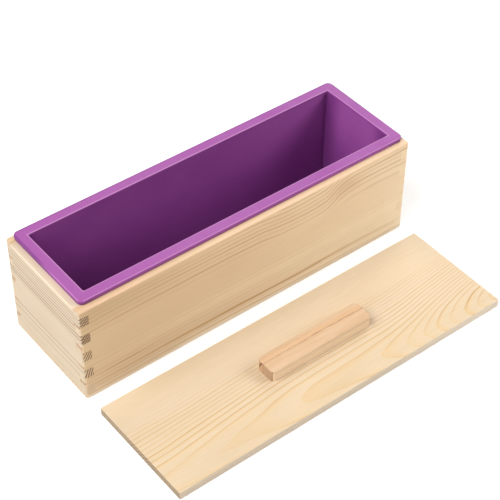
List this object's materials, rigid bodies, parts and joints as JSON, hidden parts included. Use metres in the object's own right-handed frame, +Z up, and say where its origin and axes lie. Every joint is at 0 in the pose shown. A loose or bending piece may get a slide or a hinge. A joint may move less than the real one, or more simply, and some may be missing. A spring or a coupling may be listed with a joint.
{
  "type": "soap loaf mould",
  "caption": "Finger-jointed pine box with a lift-out silicone liner for pouring a loaf of soap, and a flat pine lid with a bar handle lying beside it.",
  "frame": {"origin": "centre of the wooden box's underside, on the surface that the box and the lid lie on", "axes": "+X along the loaf, +Y from the lid towards the box, +Z up"},
  "size_m": [0.28, 0.192, 0.0835],
  "materials": {
    "pine": "sanded, bare",
    "pine_end_wall": "sanded, bare",
    "lid_pine": "sanded, bare",
    "beech": "sanded, bare",
    "silicone": "satin",
    "brad_steel": "bright, drawn",
    "screw_steel": "zinc plated"
  },
  "bodies": {
    "box": {"front_wall": "pine", "back_wall": "pine", "left_end_wall": "pine_end_wall", "right_end_wall": "pine_end_wall", "bottom_board": "pine", "bottom_brad_front_1": "brad_steel", "bottom_brad_front_2": "brad_steel", "bottom_brad_front_3": "brad_steel", "bottom_brad_front_4": "brad_steel", "bottom_brad_back_1": "brad_steel", "bottom_brad_back_2": "brad_steel", "bottom_brad_back_3": "brad_steel", "bottom_brad_back_4": "brad_steel", "bottom_brad_left": "brad_steel", "bottom_brad_right": "brad_steel"},
    "liner": {"silicone_liner": "silicone"},
    "lid": {"lid_board": "lid_pine", "lid_handle": "beech", "handle_screw_left": "screw_steel", "handle_screw_right": "screw_steel"}
  },
  "joints": [
    {"name": "liner_lift", "type": "slide", "parent": "box", "child": "liner", "axis": [0, 0, 1], "range_m": [0, 0.09]},
    {"name": "lid_lift", "type": "slide", "parent": "box", "child": "lid", "axis": [0, 0, 1], "range_m": [0, 0.1]}
  ]
}
